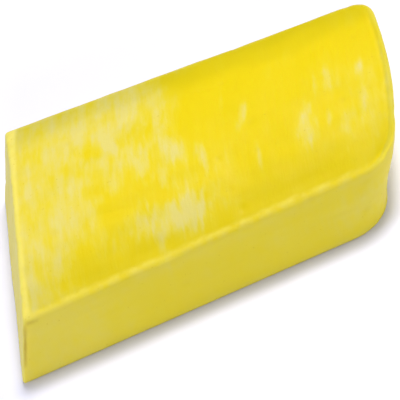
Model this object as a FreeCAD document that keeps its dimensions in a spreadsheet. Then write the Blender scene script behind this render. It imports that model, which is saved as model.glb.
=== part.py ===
import FreeCAD, Part
import os

import Sketcher

# A bar of detailing clay: one solid block with a low domed top, a flat underside and a front wall
# that flares a little towards its foot. Both ends are oblique. The left end is a straight knife
# cut, and the right end is swollen, with rounded corners. All sizes are in millimetres.
#
# Frame: +X runs along the front wall, +Y from the front wall to the back wall, +Z up. The origin is
# the middle of the rectangle that the bar covers on the surface it rests on.

SIZES = (
    # alias, value, what it is
    ("bar_length", 82.0, "length between the two ends, at mid height"),
    ("bar_width", 45.5, "width of the top at the left end"),
    ("width_taper", 7.5, "how much narrower the right end is"),
    ("front_height", 17.0, "height of the front wall"),
    ("back_height", 20.0, "height of the back wall at the left end"),
    ("crown_height", 4.0, "rise of the domed top above the line between its two edges"),
    ("wall_flare", 1.6, "how far the front wall's foot stands out"),
    ("end_skew", 13.0, "angle of both ends from square, in plan, in degrees"),
    ("end_lean", 17.0, "angle of both ends from upright, in degrees"),
    ("end_bulge", 2.0, "how far the right end swells past a straight cut"),
    ("front_corner", 9.5, "radius of the right end's front corner"),
    ("back_corner", 4.0, "radius of the right end's back corner"),
    ("edge_radius", 1.8, "rounding of the top's edges"),
    ("foot_radius", 0.6, "rounding of the underside's edges"),
    ("cut_radius", 0.4, "rounding of the left cut's edges"),
    ("spare", 20.0, "how far the waste outline stands clear of the bar"),
)


def make_sheet(doc):
    """The spreadsheet that holds every driving dimension as a plain number with an alias."""
    sheet = doc.addObject("Spreadsheet::Sheet", "Sizes")
    for row, (alias, value, meaning) in enumerate(SIZES, start=1):
        sheet.set("A%d" % row, alias)
        sheet.set("B%d" % row, str(value))
        sheet.set("C%d" % row, meaning)
        sheet.setAlias("B%d" % row, alias)
    doc.recompute()
    return sheet


def new_sketch(body, name, role):
    """An empty sketch on one of the body's own origin planes."""
    planes = [plane for plane in body.Origin.OriginFeatures if plane.Role == role]
    sketch = body.newObject("Sketcher::SketchObject", name)
    sketch.AttachmentSupport = [(planes[0], "")]
    sketch.MapMode = "FlatFace"
    return sketch


def add_corners(sketch, corners):
    """One construction point for each corner. Its two distances from the sketch's origin are
    expressions of the sheet's cells."""
    ids = {}
    for name, across, up in corners:
        point = sketch.addGeometry(Part.Point(FreeCAD.Vector(1.0, 1.0, 0.0)), True)
        for kind, expression in (("DistanceX", across), ("DistanceY", up)):
            constraint = Sketcher.Constraint(kind, -1, 1, point, 1, 1.0)
            index = sketch.addConstraint(constraint)
            label = "%s_%s" % (name, kind)
            sketch.renameConstraint(index, label)
            sketch.setExpression("Constraints." + label, expression)
        ids[name] = point
    return ids


def corner_place(sketch, ids, name):
    """Where a corner's construction point lies after the sketch has been solved."""
    return sketch.getPoint(ids[name], 1)


def add_line(sketch, ids, start, end):
    """A straight side from one corner to another."""
    places = [corner_place(sketch, ids, name) for name in (start, end)]
    side = sketch.addGeometry(Part.LineSegment(*places), False)
    sketch.addConstraint(Sketcher.Constraint("Coincident", side, 1, ids[start], 1))
    sketch.addConstraint(Sketcher.Constraint("Coincident", side, 2, ids[end], 1))


def add_arc(sketch, ids, start, middle, end):
    """A round side from one corner to another, through a third. It runs anticlockwise."""
    places = [corner_place(sketch, ids, name) for name in (start, middle, end)]
    side = sketch.addGeometry(Part.Arc(*places), False)
    sketch.addConstraint(Sketcher.Constraint("Coincident", side, 1, ids[start], 1))
    sketch.addConstraint(Sketcher.Constraint("Coincident", side, 2, ids[end], 1))
    sketch.addConstraint(Sketcher.Constraint("PointOnObject", ids[middle], 1, side))


def make_plan(doc, body):
    """The foot's outline: a straight oblique left end, a swollen right end, a tapering back."""
    sketch = new_sketch(body, "PlanOutline", "XY_Plane")
    left = "-Sizes.bar_length / 2"
    corner = "Sizes.bar_length / 2 - Sizes.end_bulge"
    swell = "Sizes.bar_length / 2"
    front = "-Sizes.bar_width / 2 - Sizes.wall_flare"
    back = "Sizes.bar_width / 2"
    narrow = "(Sizes.bar_width / 2 - Sizes.width_taper)"
    halfway = "(-Sizes.wall_flare - Sizes.width_taper) / 2"
    slope = " + tan(Sizes.end_skew) * (%s) - tan(Sizes.end_lean) * Sizes.front_height / 2"
    ids = add_corners(sketch, (
        ("front_left", left + slope % front, front),
        ("front_right", corner + slope % front, front),
        ("right_middle", swell + slope % halfway, halfway),
        ("back_right", corner + slope % narrow, narrow),
        ("back_left", left + slope % back, back),
    ))
    doc.recompute()
    add_line(sketch, ids, "front_left", "front_right")
    add_arc(sketch, ids, "front_right", "right_middle", "back_right")
    add_line(sketch, ids, "back_right", "back_left")
    add_line(sketch, ids, "back_left", "front_left")
    return sketch


def make_profile(doc, body):
    """The waste round the cross-section: a rectangle with the bar's section left out of it."""
    sketch = new_sketch(body, "SectionWaste", "YZ_Plane")
    front = "-Sizes.bar_width / 2"
    back = "Sizes.bar_width / 2 + Sizes.spare"
    crown = "(Sizes.front_height + Sizes.back_height) / 2 + Sizes.crown_height"
    ids = add_corners(sketch, (
        ("front_foot", front + " - Sizes.wall_flare", "0"),
        ("front_top", front, "Sizes.front_height"),
        ("crown", "0", crown),
        ("back_top", "Sizes.bar_width / 2", "Sizes.back_height"),
        ("back_side", back, "Sizes.back_height"),
        ("high_back", back, crown + " + Sizes.spare"),
        ("high_front", front + " - Sizes.spare", crown + " + Sizes.spare"),
        ("low_front", front + " - Sizes.spare", "0"),
    ))
    doc.recompute()
    add_line(sketch, ids, "front_foot", "front_top")
    add_arc(sketch, ids, "back_top", "crown", "front_top")
    add_line(sketch, ids, "back_top", "back_side")
    add_line(sketch, ids, "back_side", "high_back")
    add_line(sketch, ids, "high_back", "high_front")
    add_line(sketch, ids, "high_front", "low_front")
    add_line(sketch, ids, "low_front", "front_foot")
    return sketch


def pad_blank(body, sketch):
    """The leaning blank: the foot's outline pushed up along the slope of the two ends."""
    blank = body.newObject("PartDesign::Pad", "LeaningBlank")
    blank.Profile = sketch
    blank.UseCustomVector = True
    blank.Direction = FreeCAD.Vector(0.3, 0.0, 1.0)
    blank.setExpression("Direction.x", "tan(Sizes.end_lean)")
    blank.AlongSketchNormal = True
    blank.setExpression("Length", "Sizes.back_height + Sizes.crown_height + Sizes.spare / 2")
    return blank


def cut_profile(body, sketch):
    """Takes the waste off along the whole bar, which leaves the domed top and the flared wall."""
    cut = body.newObject("PartDesign::Pocket", "DomedTop")
    cut.Profile = sketch
    cut.SideType = "Symmetric"
    cut.Type = "Length"
    cut.setExpression("Length", "4 * Sizes.bar_length")
    return cut


def round_edges(doc, body, name, size, wanted):
    """A fillet on every edge of the body that wanted(edge) picks."""
    base = body.Tip
    picked = ["Edge%d" % (index + 1) for index, edge in enumerate(base.Shape.Edges) if wanted(edge)]
    if not picked:
        raise RuntimeError(name + " found no edge")
    fillet = body.newObject("PartDesign::Fillet", name)
    fillet.Base = (base, picked)
    fillet.setExpression("Radius", "Sizes." + size)
    doc.recompute()
    return fillet


def middle(edge):
    """The point halfway along an edge."""
    return edge.valueAt((edge.FirstParameter + edge.LastParameter) / 2)


def ends_of(edge):
    """An edge's two end points, the lower one first."""
    return sorted((vertex.Point for vertex in edge.Vertexes), key=lambda point: point.z)


def rises(edge):
    """True for an edge that runs from the foot up to the top."""
    low, high = ends_of(edge)
    return high.z - low.z > 0.5 * edge.Length


def on_left_cut(edge, sheet):
    """True for an edge that borders the straight cut: all of it lies near the left end."""
    return edge.BoundBox.XMax < -0.2 * sheet.bar_length


def round_block(doc, body, sheet):
    """The block's fillets, from the largest to the smallest."""
    def front_corner(edge):
        return rises(edge) and middle(edge).x > 0 and middle(edge).y < 0

    def back_corner(edge):
        return rises(edge) and middle(edge).x > 0 and middle(edge).y > 0

    def top_edge(edge):
        high = ends_of(edge)[0].z > 0.5 * sheet.front_height
        return high and not on_left_cut(edge, sheet)

    def foot_edge(edge):
        low = ends_of(edge)[1].z < 0.01
        return low and not on_left_cut(edge, sheet)

    def cut_edge(edge):
        return on_left_cut(edge, sheet)

    round_edges(doc, body, "FrontCorner", "front_corner", front_corner)
    round_edges(doc, body, "BackCorner", "back_corner", back_corner)
    round_edges(doc, body, "TopEdges", "edge_radius", top_edge)
    round_edges(doc, body, "FootEdges", "foot_radius", foot_edge)
    round_edges(doc, body, "CutEdges", "cut_radius", cut_edge)


def make_clay_bar(doc, sheet):
    """The whole bar, as one body, placed with the middle of its footprint on the origin."""
    body = doc.addObject("PartDesign::Body", "ClayBar")
    body.Label = "clay_bar"
    pad_blank(body, make_plan(doc, body))
    doc.recompute()
    blank_volume = body.Shape.Volume
    cut_profile(body, make_profile(doc, body))
    doc.recompute()
    if body.Shape.Volume > 0.9 * blank_volume:
        raise RuntimeError("the domed top wasn't cut")
    round_block(doc, body, sheet)
    box = body.Shape.optimalBoundingBox(False, False)
    body.Placement = FreeCAD.Placement(
        FreeCAD.Vector(-box.Center.x, -box.Center.y, -box.ZMin), FreeCAD.Rotation()
    )
    doc.recompute()
    return body


def check_document(doc):
    """Stops if any object of the document failed to compute."""
    for item in doc.Objects:
        if "Invalid" in item.State or "Error" in item.State:
            raise RuntimeError(item.Name + " failed: " + str(item.State))


def export(pieces):
    """Writes each piece's shape to parts/LABEL.step."""
    os.makedirs("parts", exist_ok=True)
    for piece in pieces:
        if piece.Shape.isNull() or not piece.Shape.isValid():
            raise RuntimeError(piece.Label + " has no valid shape")
        piece.Shape.exportStep(os.path.join("parts", piece.Label + ".step"))
        box = piece.Shape.optimalBoundingBox(False, False)
        print("%s: %.1f x %.1f x %.1f mm, %.1f cm3" % (
            piece.Label, box.XLength, box.YLength, box.ZLength, piece.Shape.Volume / 1000
        ))


def main():
    doc = FreeCAD.newDocument("ClayBarModel")
    sheet = make_sheet(doc)
    pieces = [make_clay_bar(doc, sheet)]
    check_document(doc)
    export(pieces)


main()
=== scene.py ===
import math
import random

import bpy
import numpy as np
from mathutils import Matrix, Vector, noise


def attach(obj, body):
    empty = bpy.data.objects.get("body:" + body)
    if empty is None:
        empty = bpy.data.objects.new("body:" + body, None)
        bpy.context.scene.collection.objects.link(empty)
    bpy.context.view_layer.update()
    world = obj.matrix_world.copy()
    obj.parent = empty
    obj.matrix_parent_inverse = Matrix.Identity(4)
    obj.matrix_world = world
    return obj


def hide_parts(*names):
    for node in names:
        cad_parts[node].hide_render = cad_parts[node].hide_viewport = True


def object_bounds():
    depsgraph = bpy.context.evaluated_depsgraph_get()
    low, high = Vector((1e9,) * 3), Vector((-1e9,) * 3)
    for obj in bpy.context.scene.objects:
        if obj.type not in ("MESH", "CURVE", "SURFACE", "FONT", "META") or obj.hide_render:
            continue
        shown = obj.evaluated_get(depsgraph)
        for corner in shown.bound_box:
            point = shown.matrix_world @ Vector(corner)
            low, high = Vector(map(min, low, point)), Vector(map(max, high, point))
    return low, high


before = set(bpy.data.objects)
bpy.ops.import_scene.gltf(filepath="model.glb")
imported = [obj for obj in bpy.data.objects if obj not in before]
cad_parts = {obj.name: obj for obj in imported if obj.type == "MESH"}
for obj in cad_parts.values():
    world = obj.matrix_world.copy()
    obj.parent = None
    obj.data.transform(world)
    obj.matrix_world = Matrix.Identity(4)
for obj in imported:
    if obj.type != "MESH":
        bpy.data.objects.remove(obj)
cad_low, cad_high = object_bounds()

# A bar of detailing clay on a pale floor. The visible bar is the CAD block made dense and worked
# over like the real thing: pressed lumps, drag lines, a knife-cut end, pits, nicks and smears.
# Lengths on the bar are in millimetres, and MM turns them into metres. Those of the floor, the
# lights and the camera are in metres.
MM = 0.001

CELL = 0.40                  # side of one mesh cell of the visible bar
SOFTENING_PASSES = 5
EVENING_PASSES = 10          # how far the paler edges, rubbed wear with a painted highlight, spread from an edge
REST_FADE = 1.5              # height over which the working fades out towards the flat underside
END_SLANT = 15.0             # degrees to the right that the top's strokes and edge of the cut run

FRONT_EDGE_Y = -22.0         # the long ridge between the top and the front wall
FRONT_EDGE_Z = 17.0
BACK_EDGE_Y = 23.5           # the far edge of the top at the cut end
BACK_EDGE_DRIFT = 0.0915     # how fast it comes nearer towards the right end
BACK_EDGE_Z = 20.0
LEFT_EDGE_X = -35.8          # where the cut end meets the top, at y = 0

# Wide thumb presses on the top and its front edge: x, y, radius and depth.
PRESSES = (
    (-29.0, 3.0, 9.0, 0.30),
    (-11.0, -21.0, 5.0, 0.22),
    (-2.0, 9.0, 8.0, 0.22),
    (10.0, -12.0, 7.0, 0.20),
    (27.0, 5.0, 9.0, 0.28),
    (36.0, -9.0, 6.0, 0.18),
    (38.0, -20.0, 8.0, 0.50),
)

# Broad hollows squeezed into the sides, and two swollen corners (depth below 0): x, y, z, radius
# and depth.
HOLLOWS = (
    (43.0, -15.0, 12.0, 9.0, -0.30),
    (41.5, -19.0, 2.5, 11.0, 1.00),
    (46.0, 14.0, 19.0, 6.0, -0.35),
    (-38.0, -22.0, 9.0, 9.0, 0.15),
    (20.0, 24.0, 9.0, 14.0, 0.35),
    (-14.0, 25.0, 13.0, 11.0, 0.30),
    (-36.0, 0.0, 11.0, 9.0, 0.25),
)

# Grooves left by the knife and by handling: both ends, half width, depth, and how much painted
# shade they get.
GROOVES = (
    ((-42.1, -22.1, 16.0), (-45.8, -23.2, 4.5), 0.34, 0.22, 1.0),
    ((-41.9, -22.1, 16.0), (-39.0, -22.3, 15.8), 0.32, 0.16, 0.4),
    ((-28.7, 19.0, 21.2), (-39.6, -20.0, 18.0), 0.55, 0.12, 0.0),
    ((-36.0, -19.6, 18.2), (-3.0, -19.4, 18.4), 0.90, 0.07, 0.0),
    ((2.0, -19.4, 18.4), (34.0, -19.2, 18.6), 0.90, 0.07, 0.0),
    ((-21.0, -8.0, 21.2), (-13.5, -9.5, 21.1), 0.40, 0.06, 0.0),
    ((5.0, 11.0, 22.4), (16.0, 8.5, 22.6), 0.40, 0.05, 0.0),
    ((20.0, -23.2, 9.5), (33.0, -23.2, 8.2), 0.45, 0.07, 0.0),
    ((-30.0, -23.4, 6.0), (-15.0, -23.4, 6.6), 0.45, 0.06, 0.0),
    ((-20.0, 24.0, 11.0), (4.0, 24.0, 12.0), 0.50, 0.10, 0.0),
)

# Smears on the top and the walls, seen with the walls folded flat: x, distance across, half width,
# half length, lean to the right in degrees, and how much paler or (below 0) deeper the clay is.
SMEARS = (
    (-12.0, 5.2, 0.9, 2.4, -35.0, 0.62),
    (-0.5, -1.6, 1.5, 2.4, 5.0, 0.60),
    (3.5, -4.6, 0.9, 2.8, 0.0, 0.72),
    (14.0, -0.5, 1.0, 3.2, 30.0, 0.82),
    (-13.5, -13.5, 1.8, 2.6, 0.0, 0.50),
    (-7.0, -13.8, 2.6, 2.4, 0.0, 0.50),
    (-2.8, -15.2, 2.8, 2.4, -30.0, 0.74),
    (24.6, -8.8, 1.8, 3.8, 20.0, 0.80),
    (30.0, -1.5, 0.7, 2.8, 15.0, 0.45),
    (32.8, -0.6, 0.9, 2.6, 15.0, 0.50),
    (39.6, -0.5, 0.8, 1.8, 28.0, 0.54),
    (33.4, -11.0, 1.2, 2.6, 15.0, 0.42),
    (30.2, -8.0, 0.6, 2.2, 20.0, 0.36),
    (14.0, -10.0, 0.6, 3.0, 15.0, 0.56),
    (12.0, 6.2, 0.6, 2.8, 20.0, 0.34),
    (22.0, 6.5, 1.3, 2.6, 20.0, 0.26),
    (42.0, 11.0, 0.8, 2.4, 10.0, 0.26),
    (37.5, -8.0, 0.7, 3.4, 20.0, 0.34),
    (-11.0, -20.5, 0.9, 6.5, 4.0, 0.52),
    (-1.6, 4.0, 1.2, 4.0, 15.0, 0.34),
    (-8.0, -1.0, 1.0, 3.0, 10.0, 0.40),
    (-5.5, -6.0, 0.8, 2.6, 5.0, 0.36),
    (12.0, -30.5, 4.5, 3.0, 0.0, 0.22),
    (-4.0, -28.0, 1.6, 6.0, 8.0, 0.14),
    (36.0, -8.0, 8.0, 9.0, 15.0, 0.34),
    (38.0, -30.0, 6.0, 4.0, 0.0, 0.50),
    (30.0, -31.0, 9.0, 4.0, 0.0, 0.50),
    (0.0, -3.0, 8.0, 8.0, 20.0, 0.32),
    (-6.0, -14.5, 10.0, 5.0, 0.0, 0.34),
    (-9.0, 10.0, 9.0, 8.0, 20.0, 0.22),
    (-15.0, -2.0, 7.0, 9.0, 20.0, 0.14),
    (-16.6, 7.0, 2.8, 2.4, 30.0, -0.62),
    (-21.0, 4.0, 3.0, 1.6, 60.0, -0.40),
    (-19.0, -3.0, 2.2, 1.8, 20.0, -0.35),
    (-16.6, -8.0, 2.6, 2.2, 20.0, -0.45),
    (-26.0, -16.5, 4.0, 1.6, 90.0, -0.25),
    (-6.0, -11.2, 2.6, 1.6, 60.0, -0.35),
    (5.5, 3.5, 3.6, 5.0, 20.0, -0.35),
    (19.5, -1.5, 4.0, 6.0, 20.0, -0.30),
    (10.0, 14.5, 3.5, 3.0, 20.0, -0.20),
    (31.0, -4.6, 2.0, 2.0, 20.0, -0.25),
    (41.0, 4.0, 2.4, 4.0, 15.0, -0.25),
)

# Noise that lifts the surface, and noise that makes the paler and deeper clay ragged: size of its
# features on each axis, start of the noise, and height.
SLOW_LUMPS = ((24.0, 20.0, 20.0), 0.0, 0.22)
MEDIUM_LUMPS = ((9.0, 8.0, 8.0), 5.0, 0.13)
FINE_LUMPS = ((3.0, 3.0, 3.0), 11.0, 0.04)
TOP_STROKES = ((1.5, 10.0, 5.0), 2.0, 0.035)
WALL_LINES = ((26.0, 5.0, 1.3), 7.0, 0.045)
KNIFE_LINES = ((5.0, 0.9, 16.0), 13.0, 0.12)
END_WRINKLES = ((3.0, 6.0, 1.8), 17.0, 0.09)
MILKY_BORDER_RAGS = ((5.0, 9.0, 9.0), 21.0, 6.5)
SMEAR_WISPS = ((0.9, 2.6, 2.6), 25.0, 0.40)
LONG_SMEAR_WISPS = ((0.6, 5.0, 5.0), 35.0, 0.35)
MARGIN_RAGS = ((8.0, 3.0, 3.0), 31.0, 0.2)

GROOVE_WAVES = 9.0           # radians of waver along the whole of a groove
GROOVE_WAVER = 0.075         # how far its middle wavers to the side

PIT_COUNT = 55
PIT_SEED = 41
PIT_RADII = (0.7, 1.7)
PIT_DEPTHS = (0.03, 0.10)
PIT_PAINTED_SHADE = 0.8           # how much painted shade a pit gets, for each millimetre of its depth
NICK_COUNT = 16
NICK_SEED = 12
NICK_RADII = (1.0, 2.6)
NICK_DEPTHS = (0.08, 0.20)
NICKED_EDGE = 0.14           # the least convexity, in 1/mm, of an edge that gets nicks
NICKED_HEIGHT = 3.0          # the least height of such an edge

# The milky left part of the bar. Milkiness is 0 in deep yellow clay and 1 in the palest.
MILKY_BORDER_X = -11.0       # where it ends, halfway across the top
MILKY_BORDER_SLOPE = 0.9     # how far the border moves right for each millimetre further across
MILKY_BORDER_REACH = (-18.0, 24.0)   # the distances across between which it does so
MILKY_BORDER_BLUR = 13.0     # half the width over which it fades
MILK_ON_THE_RIGHT = -0.04
MILK_ADDED_LEFT = 0.78
# Painted shading: the rounded far and right rims are coloured paler, which the painted edge shade
# turns greyish.
ROUNDED_RIM_PAINTED_PALING = 0.35
MILK_ON_WALLS = 0.46
WALL_SMEARS = 0.25           # how much of the smears shows on the walls
SMEAR_GAIN = 1.25
MILK_KNEE = 0.70             # above this, more smears add less
MILK_ABOVE_KNEE = 0.45

# How far in from their edges the lip of the cut and the painted shade on the margins of the top
# start to fade and end, and how strong they are.
CUT_LIP = (0.9, 1.7)
FRONT_MARGIN = (2.0, 15.0)
BACK_MARGIN = (0.5, 11.0)
FRONT_MARGIN_SHADE = 0.50
RIGHT_RIM_SHADE = 0.85
BACK_EDGE_START_X = -31.0    # where the far edge meets the cut end

RIDGE_LIGHT_ON_WALL_FADE = (-5.5, -0.5)    # the heights above the ridge between which the painted light high on the front wall fades
RIDGE_LIGHT_ON_WALL = 0.75
HIGHLIGHT_AND_WEAR_LEFT_AT_END = 0.10      # how much of the wear and painted highlight is left on the right part of the edges
HIGHLIGHT_AND_WEAR_END_X = (26.0, 36.0)
HIGHLIGHT_AND_WEAR_LEFT_AT_BACK = 0.15     # and on the far edge
HIGHLIGHT_AND_WEAR_BACK_Y = (8.0, 16.0)
PINCH_HEIGHT = 0.12
PINCH_X = (30.0, 38.0)       # where the rim of the right end starts to stand out, at y = 0
PINCH_DRIFT = 0.2            # how much further right that is for each millimetre of y
PINCH_Y = (-16.0, -8.0)


def eased(low, high, value):
    """0 below low, 1 above high, and a smooth rise between them."""
    part = np.clip((value - low) / (high - low), 0.0, 1.0)
    return part * part * (3.0 - 2.0 * part)


def dense_copy(source, name):
    """A new object with the CAD block's shape, remeshed to even cells."""
    rough = bpy.data.objects.new(name + "_rough", source.data.copy())
    bpy.context.scene.collection.objects.link(rough)
    remesh = rough.modifiers.new("cells", "REMESH")
    remesh.mode = "VOXEL"
    remesh.voxel_size = CELL * MM
    remesh.adaptivity = 0.0
    smooth = rough.modifiers.new("soften", "SMOOTH")
    smooth.factor = 0.5
    smooth.iterations = SOFTENING_PASSES
    view = bpy.context.evaluated_depsgraph_get()
    mesh = bpy.data.meshes.new_from_object(rough.evaluated_get(view))
    bpy.data.objects.remove(rough)
    mesh.name = name
    piece = bpy.data.objects.new(name, mesh)
    bpy.context.scene.collection.objects.link(piece)
    mesh.polygons.foreach_set("use_smooth", [True] * len(mesh.polygons))
    return piece


def points_of(mesh):
    """The mesh's points in millimetres, and their normals."""
    places = np.empty(len(mesh.vertices) * 3)
    mesh.vertices.foreach_get("co", places)
    normals = np.empty(len(mesh.vertices) * 3)
    mesh.vertices.foreach_get("normal", normals)
    return places.reshape(-1, 3) / MM, normals.reshape(-1, 3)


def grain(places, size, start):
    """Smooth noise from -1 to 1 at every place, its features as large as size on each axis."""
    size = Vector(size)
    return np.array([
        noise.noise(Vector((x / size.x + start, y / size.y, z / size.z))) for x, y, z in places
    ])


def uneven(places, row):
    """Noise from one of the rows of feature size, start and height."""
    size, start, height = row
    return height * grain(places, size, start)


def dent(places, centre, radius):
    """1 at the centre of a round dent, falling to 0 at its rim."""
    away = np.linalg.norm(places - np.array(centre), axis=1) / radius
    return 1.0 - eased(0.0, 1.0, away)


def slanted(places):
    """The places with the strokes' slant taken out, so that the strokes run along y."""
    straight = places.copy()
    straight[:, 0] -= places[:, 1] * math.tan(math.radians(END_SLANT))
    return straight


def lumps(places):
    """Slow lumps and finer unevenness, all over."""
    return sum(uneven(places, row) for row in (SLOW_LUMPS, MEDIUM_LUMPS, FINE_LUMPS))


def drag_lines(places, normals):
    """Strokes across the top, lengthwise lines on the long walls and knife lines on the cut end."""
    top = eased(0.6, 0.9, normals[:, 2])
    walls = eased(0.6, 0.9, np.abs(normals[:, 1]))
    cut_end = eased(0.5, 0.8, -normals[:, 0])
    far_end = eased(0.5, 0.8, normals[:, 0])
    return (
        uneven(slanted(places), TOP_STROKES) * top + uneven(places, WALL_LINES) * walls
        + uneven(places, KNIFE_LINES) * cut_end + uneven(places, END_WRINKLES) * far_end
    )


def presses(places, normals):
    """The wide thumb presses and the squeezed hollows, as depth below the surface."""
    depth = np.zeros(len(places))
    top = eased(0.0, 0.6, normals[:, 2])
    for x, y, radius, deep in PRESSES:
        away = np.hypot(places[:, 0] - x, places[:, 1] - y) / radius
        depth += deep * (1.0 - eased(0.0, 1.0, away)) * top
    for x, y, z, radius, deep in HOLLOWS:
        depth += deep * dent(places, (x, y, z), radius)
    return depth


def groove_fade(places, start, end, half_width):
    """1 along the middle of a groove, falling to 0 at its sides and tapering out at its ends."""
    start, end = np.array(start), np.array(end)
    run = end - start
    along = np.clip((places - start) @ run / (run @ run), 0.0, 1.0)
    waver = GROOVE_WAVER * np.abs(np.sin(GROOVE_WAVES * along))
    away = np.linalg.norm(places - start - along[:, None] * run, axis=1)
    taper = np.sqrt(np.clip(4.0 * along * (1.0 - along), 0.0, 1.0))
    return (1.0 - eased(0.0, 1.0, np.abs(away - waver) / (2.0 * half_width))) * taper


def grooves(places):
    """The depth of all the grooves, and the shade painted into them."""
    depth = np.zeros(len(places))
    dark = np.zeros(len(places))
    for start, end, half_width, deep, shade in GROOVES:
        fade = groove_fade(places, start, end, half_width)
        depth += deep * fade
        dark = np.maximum(dark, shade * fade)
    return depth, dark


def pits(places):
    """Small dimples scattered over the surface, each pressed at one of the mesh's own points."""
    draw = random.Random(PIT_SEED)
    depth = np.zeros(len(places))
    for _ in range(PIT_COUNT):
        centre = places[draw.randrange(len(places))]
        radius = draw.uniform(*PIT_RADII)
        deep = draw.uniform(*PIT_DEPTHS)
        depth += deep * dent(places, centre, radius)
    return depth


def nicks(places, sharpness):
    """Small knocks along the outward edges."""
    draw = random.Random(NICK_SEED)
    edge_points = np.flatnonzero((sharpness > NICKED_EDGE) & (places[:, 2] > NICKED_HEIGHT))
    depth = np.zeros(len(places))
    for _ in range(NICK_COUNT):
        centre = places[edge_points[draw.randrange(len(edge_points))]]
        radius = draw.uniform(*NICK_RADII)
        deep = draw.uniform(*NICK_DEPTHS)
        depth += deep * dent(places, centre, radius)
    return depth


def convexity(mesh):
    """How sharply the surface turns outwards at each point, in 1/mm, evened over a few cells."""
    places, normals = points_of(mesh)
    ends = np.empty(len(mesh.edges) * 2, dtype=np.int32)
    mesh.edges.foreach_get("vertices", ends)
    first, second = ends[0::2], ends[1::2]
    count = len(places)
    step = places[second] - places[first]
    turn = ((normals[second] - normals[first]) * step).sum(1) / (step * step).sum(1)
    links = np.bincount(first, minlength=count) + np.bincount(second, minlength=count)
    value = np.bincount(first, turn, count) + np.bincount(second, turn, count)
    value /= links
    for _ in range(EVENING_PASSES):
        around = np.bincount(first, value[second], count) + np.bincount(second, value[first], count)
        value = 0.5 * value + 0.5 * around / links
    return value


def unfolded(places, walls):
    """x, and the distance across the bar with its long walls folded flat in line with the top."""
    in_front = places[:, 1] < 0.0
    edge = np.where(in_front, FRONT_EDGE_Z, BACK_EDGE_Z)
    down = np.maximum(edge - places[:, 2], 0.0) * walls
    return places[:, 0], places[:, 1] + np.where(in_front, -down, down)


def smears(places, x, across):
    """How much paler, or below 0 deeper, the smears make the clay, each with a ragged outline."""
    straight = slanted(places)
    wisp = uneven(straight, SMEAR_WISPS) + uneven(straight, LONG_SMEAR_WISPS)
    pale = np.zeros(len(places))
    for centre, middle, half_width, half_length, lean, strength in SMEARS:
        turn = math.radians(lean)
        aside = (x - centre) * math.cos(turn) - (across - middle) * math.sin(turn)
        ahead = (x - centre) * math.sin(turn) + (across - middle) * math.cos(turn)
        away = np.hypot(aside / half_width, ahead / half_length) + wisp
        pale += SMEAR_GAIN * strength * (1.0 - eased(0.0, 2.0, away))
    return pale


def milkiness(places, normals):
    """How pale the clay is at each point: a milky left part, the smears, and the rounded rims,
    painted paler as part of their painted shading.
    """
    walls = 1.0 - eased(0.15, 0.60, normals[:, 2])
    x, across = unfolded(places, walls)
    ragged = uneven(slanted(places), MILKY_BORDER_RAGS)
    border = MILKY_BORDER_X + MILKY_BORDER_SLOPE * np.clip(across, *MILKY_BORDER_REACH) + ragged
    left = 1.0 - eased(-MILKY_BORDER_BLUR, MILKY_BORDER_BLUR, x - border)
    pale = MILK_ON_THE_RIGHT + MILK_ADDED_LEFT * left + smears(places, x, across)
    # Painted shading: the rounded far and right rims are coloured paler, which the painted edge
    # shade turns greyish.
    outward = eased(0.10, 0.45, np.maximum(normals[:, 0], normals[:, 1]))
    pale += ROUNDED_RIM_PAINTED_PALING * outward * eased(0.15, 0.45, normals[:, 2])
    pale = np.minimum(pale, MILK_KNEE + MILK_ABOVE_KNEE * (pale - MILK_KNEE))
    return pale * (1.0 - (1.0 - WALL_SMEARS) * walls) + MILK_ON_WALLS * walls


def cut_rim(places, normals):
    """1 on the left cut end and on the narrow lip that the knife left along the top."""
    inside = places[:, 0] - (LEFT_EDGE_X + places[:, 1] * math.tan(math.radians(END_SLANT)))
    lip = (1.0 - eased(*CUT_LIP, inside)) * eased(0.3, 0.8, normals[:, 2])
    return np.maximum(lip, eased(0.35, 0.75, -normals[:, 0]))


def painted_edge_shade(places, normals):
    """1 where shade is painted in: on the margins of the top and on the rounded rim of the right
    end.
    """
    front = 1.0 - eased(*FRONT_MARGIN, places[:, 1] - FRONT_EDGE_Y)
    far_edge = BACK_EDGE_Y - BACK_EDGE_DRIFT * (places[:, 0] - BACK_EDGE_START_X)
    back = 1.0 - eased(*BACK_MARGIN, far_edge - places[:, 1])
    ragged = uneven(places, MARGIN_RAGS)
    front = np.clip(FRONT_MARGIN_SHADE * front + ragged, 0.0, 1.0)
    front *= eased(0.80, 0.93, normals[:, 2])
    back = np.clip(back + ragged, 0.0, 1.0) * eased(0.10, 0.40, normals[:, 2])
    right_rim = eased(0.10, 0.45, normals[:, 0]) * eased(0.15, 0.45, normals[:, 2])
    return np.maximum(np.maximum(front, back), RIGHT_RIM_SHADE * right_rim)


def rubbed_and_highlit(places, normals, sharpness):
    """1 where the clay is painted paler: its outward edges, partly rubbed wear and partly a painted
    highlight, and less so high on the front wall, where the light is painted.
    """
    below = eased(*RIDGE_LIGHT_ON_WALL_FADE, places[:, 2] - FRONT_EDGE_Z) * eased(0.5, 0.9, -normals[:, 1])
    edges = eased(0.04, 0.26, sharpness)
    edges *= 1.0 - (1.0 - HIGHLIGHT_AND_WEAR_LEFT_AT_END) * eased(*HIGHLIGHT_AND_WEAR_END_X, places[:, 0])
    edges *= 1.0 - (1.0 - HIGHLIGHT_AND_WEAR_LEFT_AT_BACK) * eased(*HIGHLIGHT_AND_WEAR_BACK_Y, places[:, 1])
    return np.maximum(edges, RIDGE_LIGHT_ON_WALL * below)


def pinched(places, sharpness):
    """How far the rim of the right end stands out, which makes its edge crisper than the ridge."""
    right = eased(*PINCH_X, places[:, 0] - PINCH_DRIFT * places[:, 1])
    right *= eased(*PINCH_Y, places[:, 1])
    return PINCH_HEIGHT * eased(0.04, 0.20, sharpness) * right


def store(mesh, name, values):
    """A number for each point of the mesh, which a material can read by its name."""
    layer = mesh.attributes.new(name, "FLOAT", "POINT")
    layer.data.foreach_set("value", values)


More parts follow.
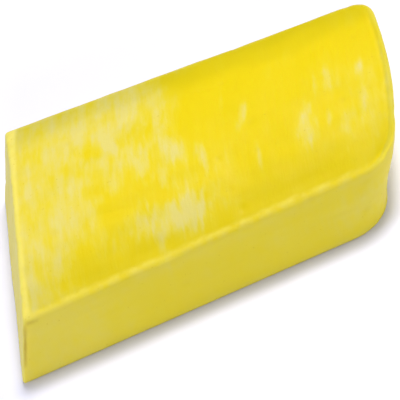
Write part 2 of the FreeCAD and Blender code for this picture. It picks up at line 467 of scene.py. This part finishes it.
def work_surface(piece):
    """Moves the bar's points along their normals, and notes where its clay looks different."""
    mesh = piece.data
    places, normals = points_of(mesh)
    cut, dark = grooves(places)
    holes = pits(places)
    lift = lumps(places) + drag_lines(places, normals) - presses(places, normals) - cut - holes
    sharpness = convexity(mesh)
    lift += pinched(places, sharpness) - nicks(places, sharpness)
    grip = np.clip(places[:, 2] / REST_FADE, 0.0, 1.0)
    moved = places + normals * (lift * grip)[:, None]
    mesh.vertices.foreach_set("co", (moved * MM).ravel())
    mesh.update()
    store(mesh, "milk", milkiness(places, normals))
    # Paler edges, partly rubbed wear and partly a painted highlight, and painted light high on the
    # front wall.
    store(mesh, "wear_and_highlight", rubbed_and_highlit(places, normals, convexity(mesh)))
    # Painted shade in the creases at the front left corner and in the pits.
    store(mesh, "dark", dark + PIT_PAINTED_SHADE * holes)
    store(mesh, "rim", cut_rim(places, normals))
    # Painted shade on the top's margins and on the right end's rim.
    store(mesh, "painted_edge_shade", painted_edge_shade(places, normals))
    store(mesh, "flat", eased(0.6, 0.9, normals[:, 2]))
    store(mesh, "ends", eased(0.5, 0.85, np.abs(normals[:, 0])))


def node(tree, kind, **settings):
    """A shader node with some of its settings made."""
    made = tree.nodes.new(kind)
    for name, value in settings.items():
        setattr(made, name, value)
    return made


def plug(tree, value, socket):
    """Puts a number, a colour or another node's output into a socket."""
    if isinstance(value, bpy.types.NodeSocket):
        tree.links.new(value, socket)
    else:
        socket.default_value = value


def worked_out(tree, operation, first, second):
    """The sum, difference or product of two values."""
    made = node(tree, "ShaderNodeMath", operation=operation)
    plug(tree, first, made.inputs[0])
    plug(tree, second, made.inputs[1])
    return made.outputs[0]


def blend(tree, amount, first, second, how="MIX"):
    """first where amount is 0, and second, or first times second, where it is 1."""
    made = node(tree, "ShaderNodeMix", data_type="RGBA", blend_type=how)
    plug(tree, amount, made.inputs[0])
    plug(tree, first, made.inputs[6])
    plug(tree, second, made.inputs[7])
    return made.outputs[2]


def spread(tree, value, low, high, to_low, to_high):
    """value taken from the range low to high over to another range, and held inside it."""
    made = node(tree, "ShaderNodeMapRange", clamp=True)
    plug(tree, value, made.inputs["Value"])
    limits = {"From Min": low, "From Max": high, "To Min": to_low, "To Max": to_high}
    for name, number in limits.items():
        made.inputs[name].default_value = number
    return made.outputs["Result"]


def clouds(tree, scale, detail, stretch=(1.0, 1.0, 1.0), turn=0.0, roughness=0.5):
    """Noise from 0 to 1 on the object's own coordinates, with scale features to the metre.

    The features are stretched along the axes after these are turned about z, to the right for a
    turn above 0.
    """
    where = node(tree, "ShaderNodeTexCoord")
    place = node(tree, "ShaderNodeMapping", vector_type="TEXTURE")
    place.inputs["Rotation"].default_value = (0.0, 0.0, math.radians(-turn))
    place.inputs["Scale"].default_value = stretch
    made = node(tree, "ShaderNodeTexNoise")
    made.inputs["Scale"].default_value = scale
    made.inputs["Detail"].default_value = detail
    made.inputs["Roughness"].default_value = roughness
    tree.links.new(where.outputs["Object"], place.inputs["Vector"])
    tree.links.new(place.outputs["Vector"], made.inputs["Vector"])
    return made.outputs["Fac"]


def noted(tree, name):
    """A value stored on the mesh's points."""
    return node(tree, "ShaderNodeAttribute", attribute_name=name).outputs["Fac"]


def shades(tree, value, steps):
    """A colour ramp over value, from (position, colour) steps."""
    made = node(tree, "ShaderNodeValToRGB")
    plug(tree, value, made.inputs["Fac"])
    ramp = made.color_ramp
    while len(ramp.elements) < len(steps):
        ramp.elements.new(1.0)
    for element, (position, colour) in zip(ramp.elements, steps):
        element.position = position
        element.color = colour + (1.0,)
    return made.outputs["Color"]


def new_material(name):
    """An empty node material, with its tree and its Principled shader."""
    material = bpy.data.materials.new(name)
    material.use_nodes = True
    tree = material.node_tree
    return material, tree, tree.nodes["Principled BSDF"]


CLAY_SHADES = (
    (0.00, (0.735, 0.572, 0.001)),
    (0.25, (0.733, 0.580, 0.008)),
    (0.50, (0.728, 0.592, 0.034)),
    (0.75, (0.720, 0.602, 0.088)),
    (1.00, (0.705, 0.610, 0.165)),
)
# Painted light: the walls are coloured lighter than the top.
WALL_PAINTED_BRIGHTENING = (1.12, 1.14, 1.20, 1.0)
# Painted shade for the top's margins and the right end's rim.
PAINTED_EDGE_SHADE_TINT = (0.79, 0.81, 0.78, 1.0)
# Colour of the paler edges: rubbed wear with a painted highlight.
WORN_AND_HIGHLIT_CLAY = (0.80, 0.67, 0.085, 1.0)
CUT_CLAY = (0.79, 0.69, 0.150, 1.0)
# Colour of the shade painted into the creases and pits.
CREASE_SHADE_TINT = (0.42, 0.27, 0.03, 1.0)
OCHRE_CLAY = (0.58, 0.42, 0.01, 1.0)
WALL_DRIFT = 0.18            # how much of the top's streaks and mottling shows on the walls
SPECK_STRENGTH = 0.45
CREASE_SHADE_STRENGTH = 0.7

FLOOR_HALF = 3.0
FLOOR_GAP = 0.02 * MM        # between the bar's underside and the floor

SKY = (0.95, 0.95, 1.0, 1.0)
SKY_STRENGTH = 0.33

# Square area lights, all aimed at the origin: name, place, size, power and colour.
LIGHTS = (
    ("key", (0.29, 0.20, 0.925), 0.20, 7.6, (1.0, 0.99, 0.96)),
    ("front", (-0.10, -0.85, 0.46), 0.30, 1.85, (0.96, 1.0, 1.0)),
    ("left", (-0.80, -0.05, 0.30), 0.25, 1.7, (0.98, 0.99, 1.0)),
    ("right", (0.75, 0.10, 0.36), 0.25, 0.9, (0.98, 0.99, 1.0)),
)


def streaks(tree, milk):
    """Fine streaks along the strokes on the top, stronger where the clay is milky."""
    lines = spread(tree, clouds(tree, 700.0, 4.0, (1.0, 5.0, 2.0), END_SLANT), 0.3, 0.7, -0.5, 0.5)
    return worked_out(tree, "MULTIPLY", lines, spread(tree, milk, 0.0, 0.6, 0.20, 0.46))


def mottling(tree, milk):
    """Wider uneven patches, also stronger where the clay is milky."""
    patches = clouds(tree, 210.0, 6.0, (1.0, 1.5, 1.0), END_SLANT)
    patches = spread(tree, patches, 0.32, 0.68, -0.5, 0.5)
    return worked_out(tree, "MULTIPLY", patches, spread(tree, milk, 0.0, 0.25, 0.28, 0.46))


def clay_colour(tree):
    """Deep yellow clay, streaked and mottled with milky clay, paler on edges with wear and a
    painted highlight, and with painted light and shade on the walls, margins, rims, grooves and
    pits.
    """
    flat, milk = noted(tree, "flat"), noted(tree, "milk")
    drift = worked_out(tree, "ADD", streaks(tree, milk), mottling(tree, milk))
    drift = worked_out(tree, "MULTIPLY", drift, spread(tree, flat, 0.0, 1.0, WALL_DRIFT, 1.0))
    colour = shades(tree, worked_out(tree, "ADD", milk, drift), CLAY_SHADES)
    # Painted light: the walls are coloured lighter than the top.
    off_the_top = spread(tree, flat, 0.0, 1.0, 1.0, 0.0)
    colour = blend(tree, off_the_top, colour, WALL_PAINTED_BRIGHTENING, "MULTIPLY")
    # Painted shade: the top's margins and the right end's rim are coloured darker.
    colour = blend(tree, noted(tree, "painted_edge_shade"), colour, PAINTED_EDGE_SHADE_TINT, "MULTIPLY")
    # Paler edges: rubbed wear with a painted highlight, broken up by noise.
    edge_breakup = spread(tree, clouds(tree, 420.0, 5.0), 0.35, 0.65, 0.25, 1.0)
    wear_and_highlight = worked_out(tree, "MULTIPLY", noted(tree, "wear_and_highlight"), edge_breakup)
    colour = blend(tree, wear_and_highlight, colour, WORN_AND_HIGHLIT_CLAY)
    smeared = spread(tree, clouds(tree, 320.0, 5.0, (1.0, 1.0, 4.0)), 0.35, 0.65, 0.55, 0.95)
    rim = worked_out(tree, "MULTIPLY", noted(tree, "rim"), smeared)
    colour = blend(tree, rim, colour, CUT_CLAY)
    specks = spread(tree, clouds(tree, 1500.0, 2.0), 0.70, 0.78, 0.0, SPECK_STRENGTH)
    colour = blend(tree, specks, colour, OCHRE_CLAY)
    # Painted shade in the creases at the front left corner and in the pits.
    crease_shade = worked_out(tree, "MULTIPLY", noted(tree, "dark"), CREASE_SHADE_STRENGTH)
    return blend(tree, crease_shade, colour, CREASE_SHADE_TINT)


def clay_relief(tree):
    """Fine height for the bump: skin grain all over, and the lines on the top, walls and ends."""
    skin = clouds(tree, 1700.0, 6.0, roughness=0.6)
    strokes = clouds(tree, 2200.0, 3.0, (1.0, 14.0, 3.0), END_SLANT)
    drawn = clouds(tree, 2600.0, 3.0, (25.0, 2.0, 1.0))
    knife = clouds(tree, 2400.0, 3.0, (1.0, 1.0, 20.0))
    flat, ends = noted(tree, "flat"), noted(tree, "ends")
    walls = worked_out(tree, "SUBTRACT", worked_out(tree, "SUBTRACT", 1.0, flat), ends)
    height = worked_out(tree, "MULTIPLY", skin, 0.5)
    for lines, where, depth in ((strokes, flat, 0.6), (drawn, walls, 0.8), (knife, ends, 1.0)):
        lines = worked_out(tree, "MULTIPLY", lines, depth)
        height = worked_out(tree, "ADD", height, worked_out(tree, "MULTIPLY", lines, where))
    return height


def clay_material():
    """Satin yellow polymer clay."""
    material, tree, shader = new_material("yellow_clay")
    plug(tree, clay_colour(tree), shader.inputs["Base Color"])
    polish = clouds(tree, 260.0, 5.0, (1.0, 2.0, 1.0), END_SLANT)
    plug(tree, spread(tree, polish, 0.3, 0.7, 0.40, 0.62), shader.inputs["Roughness"])
    bump = node(tree, "ShaderNodeBump")
    bump.inputs["Strength"].default_value = 0.35
    bump.inputs["Distance"].default_value = 0.12 * MM
    plug(tree, clay_relief(tree), bump.inputs["Height"])
    plug(tree, bump.outputs["Normal"], shader.inputs["Normal"])
    shader.inputs["Specular IOR Level"].default_value = 0.12
    shader.inputs["Subsurface Weight"].default_value = 0.35
    shader.inputs["Subsurface Radius"].default_value = (1.0, 0.8, 0.2)
    shader.inputs["Subsurface Scale"].default_value = 1.6 * MM
    return material


def floor_material():
    """Pale matt board, a little cool."""
    material, tree, shader = new_material("pale_floor")
    fibres = clouds(tree, 9.0, 2.0)
    board = shades(tree, fibres, ((0.0, (0.82, 0.82, 0.97)), (1.0, (0.84, 0.84, 0.99))))
    plug(tree, board, shader.inputs["Base Color"])
    shader.inputs["Roughness"].default_value = 0.8
    shader.inputs["Specular IOR Level"].default_value = 0.1
    return material


def make_floor():
    """A wide flat floor, its top where the bar rests."""
    mesh = bpy.data.meshes.new("floor")
    half = FLOOR_HALF
    corners = [(-half, -half, 0.0), (half, -half, 0.0), (half, half, 0.0), (-half, half, 0.0)]
    mesh.from_pydata(corners, [], [(0, 1, 2, 3)])
    floor = bpy.data.objects.new("floor", mesh)
    floor.location.z = cad_low.z - FLOOR_GAP
    bpy.context.scene.collection.objects.link(floor)
    mesh.materials.append(floor_material())


def soft_light(name, place, size, power, colour):
    """A square area light at place, turned towards the origin."""
    lamp = bpy.data.lights.new(name, "AREA")
    lamp.shape = "SQUARE"
    lamp.size = size
    lamp.energy = power
    lamp.color = colour
    holder = bpy.data.objects.new(name, lamp)
    holder.location = place
    holder.rotation_euler = (-Vector(place)).to_track_quat("-Z", "Y").to_euler()
    bpy.context.scene.collection.objects.link(holder)


def make_lights():
    """A pale studio: an even white surround, a soft key above, and dim front and side lights."""
    world = bpy.data.worlds.new("studio")
    world.use_nodes = True
    sky = world.node_tree.nodes["Background"]
    sky.inputs["Color"].default_value = SKY
    sky.inputs["Strength"].default_value = SKY_STRENGTH
    bpy.context.scene.world = world
    for light in LIGHTS:
        soft_light(*light)


# The camera: far off with a long lens, well above the bar and tipped to one side, so that the bar
# climbs from left to right across the picture.
CAMERA_AZIMUTH = math.radians(-2.5)
CAMERA_ELEVATION = math.radians(50.6)
CAMERA_ROLL = math.radians(-21.7)
CAMERA_DISTANCE = 0.700
CAMERA_LENS = 309.4
AIM = Vector((0.1, -2.15, 5.5)) * MM


def make_camera():
    """The camera, with its own right and up directions turned by the roll."""
    around, above = CAMERA_AZIMUTH, CAMERA_ELEVATION
    back = Vector((
        math.sin(around) * math.cos(above), -math.cos(around) * math.cos(above), math.sin(above)
    ))
    level = Vector((0.0, 0.0, 1.0)).cross(back).normalized()
    upright = back.cross(level)
    right = level * math.cos(CAMERA_ROLL) + upright * math.sin(CAMERA_ROLL)
    up = back.cross(right)
    lens = bpy.data.cameras.new("camera")
    lens.lens = CAMERA_LENS
    lens.sensor_width = 36.0
    lens.clip_start = 0.05
    lens.clip_end = 20.0
    camera = bpy.data.objects.new("camera", lens)
    turn = Matrix((right, up, back)).transposed().to_4x4()
    camera.matrix_world = Matrix.Translation(AIM + back * CAMERA_DISTANCE) @ turn
    bpy.context.scene.collection.objects.link(camera)
    bpy.context.scene.camera = camera


def make_bar():
    """The visible bar, which stands for the CAD block."""
    bar = dense_copy(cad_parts["clay_bar"], "clay_block")
    work_surface(bar)
    bar.data.materials.clear()
    bar.data.materials.append(clay_material())
    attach(bar, "root")
    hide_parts("clay_bar")


make_bar()
make_floor()
make_lights()
make_camera()
bpy.context.scene.view_settings.view_transform = "Standard"
